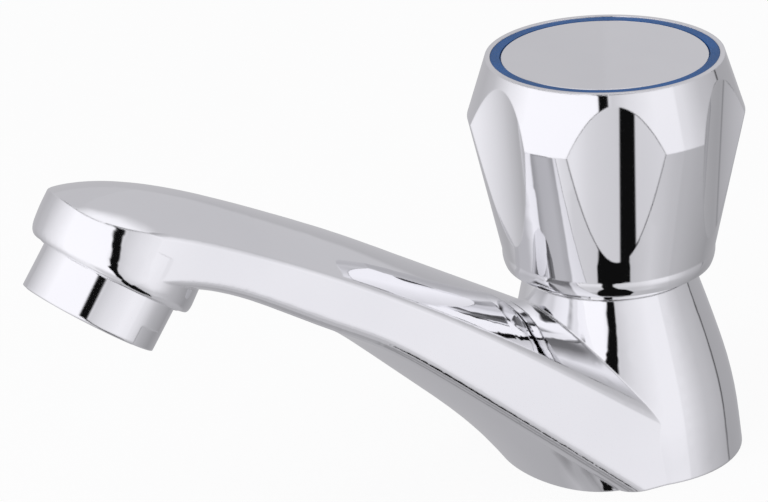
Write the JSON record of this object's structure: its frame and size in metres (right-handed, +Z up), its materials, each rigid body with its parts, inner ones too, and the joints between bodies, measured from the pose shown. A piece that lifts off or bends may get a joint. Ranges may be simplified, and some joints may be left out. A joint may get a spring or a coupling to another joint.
{
  "type": "pillar tap",
  "caption": "Cold-water pillar tap for a basin: fluted crown handle with a blue ring on a bell-shaped body with a long sloping spout, threaded tail and back nut below.",
  "frame": {"origin": "the valve axis where it meets the basin's deck, in the plane of the base's seat", "axes": "+Z up along the valve axis, the spout points along -Y"},
  "size_m": [0.052, 0.1464, 0.1275],
  "materials": {
    "chrome": "polished",
    "brass": "machined",
    "rubber": "matt",
    "blue_plastic": "gloss",
    "white_plastic": "moulded",
    "steel": "bright"
  },
  "bodies": {
    "tap": {"tap_body": "chrome", "inlet_tail": "brass", "tail_seal_ring": "rubber", "base_gasket": "rubber", "headwork_body": "brass", "headwork_seal": "rubber", "spindle_friction_ring": "white_plastic", "aerator_housing": "chrome", "aerator_seal": "rubber", "aerator_cartridge": "white_plastic", "aerator_screen": "steel", "flow_straightener": "white_plastic"},
    "handle": {"handle_shell": "chrome", "handle_spline_insert": "brass", "handle_screw": "steel", "index_ring": "blue_plastic", "index_cap": "chrome", "spindle": "brass", "spindle_o_rings": "rubber", "spindle_circlip": "steel"},
    "plunger": {"valve_plunger": "brass", "valve_washer": "rubber", "valve_washer_screw": "brass"},
    "clamp": {"deck_washer_rubber": "rubber", "deck_washer_plate": "white_plastic"},
    "nut": {"back_nut": "brass"}
  },
  "joints": [
    {"name": "handle_turn", "type": "hinge", "parent": "tap", "child": "handle", "pos_m": [0, 0, 0.0397], "axis": [0, 0, 1], "range_deg": [0, 900]},
    {"name": "valve_lift", "type": "slide", "parent": "tap", "child": "plunger", "axis": [0, 0, 1], "range_m": [0, 0.00376]},
    {"name": "nut_turn", "type": "hinge", "parent": "clamp", "child": "nut", "pos_m": [0, 0, -0.0185], "axis": [0, 0, 1], "range_deg": [-1906, 2303]},
    {"name": "clamp_slide", "type": "slide", "parent": "tap", "child": "clamp", "axis": [0, 0, 1], "range_m": [-0.0096, 0.0116]}
  ],
  "couplings": [
    {"joint": "valve_lift", "follows": "handle_turn", "m_per_rad": 0.00023873},
    {"joint": "nut_turn", "follows": "clamp_slide", "rad_per_m": 3463.7}
  ]
}
